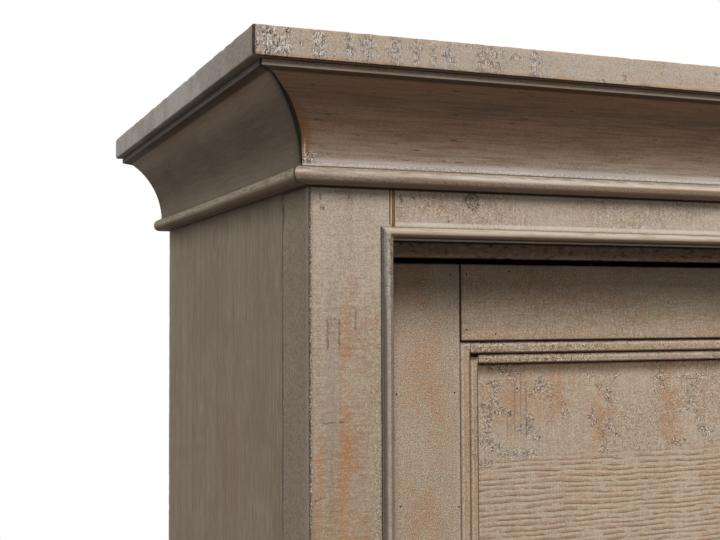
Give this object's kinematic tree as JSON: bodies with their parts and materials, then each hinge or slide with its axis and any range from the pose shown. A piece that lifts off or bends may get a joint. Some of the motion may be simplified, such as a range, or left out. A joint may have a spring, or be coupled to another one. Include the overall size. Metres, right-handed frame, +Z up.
{
  "type": "door chest",
  "caption": "Tall wooden chest with a coved cornice, a pair of recessed panelled doors over wide drawers, and a shaped base.",
  "frame": {"origin": "on the floor under the middle of the chest", "axes": "+Z up, +X to the viewer's right, the doors and drawers face -Y"},
  "size_m": [1.118, 0.508, 1.422],
  "materials": {
    "glazed_pine": "rough-sawn pine under a dusty grey-beige glaze, matt",
    "glazed_side": "smoother straight-grained pine under the same glaze, matt",
    "bare_pine": "planed pine, unfinished, matt",
    "aged_iron": "aged dark, satin"
  },
  "bodies": {
    "case": {"top_slab": "glazed_pine", "cornice_front": "glazed_pine", "cornice_left": "glazed_pine", "cornice_right": "glazed_pine", "left_post": "glazed_pine", "right_post": "glazed_pine", "left_side_panel": "glazed_side", "right_side_panel": "glazed_side", "back_panel": "bare_pine", "top_rail": "glazed_pine", "inner_top_rail": "glazed_pine", "middle_rail": "glazed_pine", "drawer_rail": "glazed_pine", "bottom_rail": "glazed_pine", "door_opening_bead": "glazed_pine", "upper_drawer_bead": "glazed_pine", "lower_drawer_bead": "glazed_pine", "cupboard_floor": "bare_pine", "drawer_divider": "bare_pine", "bottom_board": "bare_pine", "shelf": "bare_pine", "base_front": "glazed_pine", "base_left": "glazed_pine", "base_right": "glazed_pine", "left_door_upper_hinge_case_leaf": "aged_iron", "left_door_lower_hinge_case_leaf": "aged_iron", "right_door_upper_hinge_case_leaf": "aged_iron", "right_door_lower_hinge_case_leaf": "aged_iron"},
    "left_door": {"left_door_hinge_stile": "glazed_pine", "left_door_meeting_stile": "glazed_pine", "left_door_top_rail": "glazed_pine", "left_door_bottom_rail": "glazed_pine", "left_door_panel": "glazed_pine", "left_door_moulding": "glazed_pine", "left_door_knob": "aged_iron", "left_door_upper_hinge_door_leaf": "aged_iron", "left_door_lower_hinge_door_leaf": "aged_iron"},
    "right_door": {"right_door_hinge_stile": "glazed_pine", "right_door_meeting_stile": "glazed_pine", "right_door_top_rail": "glazed_pine", "right_door_bottom_rail": "glazed_pine", "right_door_panel": "glazed_pine", "right_door_moulding": "glazed_pine", "right_door_knob": "aged_iron", "right_door_upper_hinge_door_leaf": "aged_iron", "right_door_lower_hinge_door_leaf": "aged_iron"},
    "upper_drawer": {"upper_drawer_front": "glazed_pine", "upper_drawer_left_side": "bare_pine", "upper_drawer_right_side": "bare_pine", "upper_drawer_back": "bare_pine", "upper_drawer_bottom": "bare_pine", "upper_drawer_left_knob": "aged_iron", "upper_drawer_right_knob": "aged_iron"},
    "lower_drawer": {"lower_drawer_front": "glazed_pine", "lower_drawer_left_side": "bare_pine", "lower_drawer_right_side": "bare_pine", "lower_drawer_back": "bare_pine", "lower_drawer_bottom": "bare_pine", "lower_drawer_left_knob": "aged_iron", "lower_drawer_right_knob": "aged_iron"}
  },
  "joints": [
    {"name": "left_door_swing", "type": "hinge", "parent": "case", "child": "left_door", "pos_m": [-0.4374, -0.1804, 0.94075], "axis": [0, 0, -1], "range_deg": [0, 100]},
    {"name": "right_door_swing", "type": "hinge", "parent": "case", "child": "right_door", "pos_m": [0.4374, -0.1804, 0.94075], "axis": [0, 0, 1], "range_deg": [0, 100]},
    {"name": "upper_drawer_slide", "type": "slide", "parent": "case", "child": "upper_drawer", "axis": [0, -1, 0], "range_m": [0, 0.32]},
    {"name": "lower_drawer_slide", "type": "slide", "parent": "case", "child": "lower_drawer", "axis": [0, -1, 0], "range_m": [0, 0.32]}
  ]
}
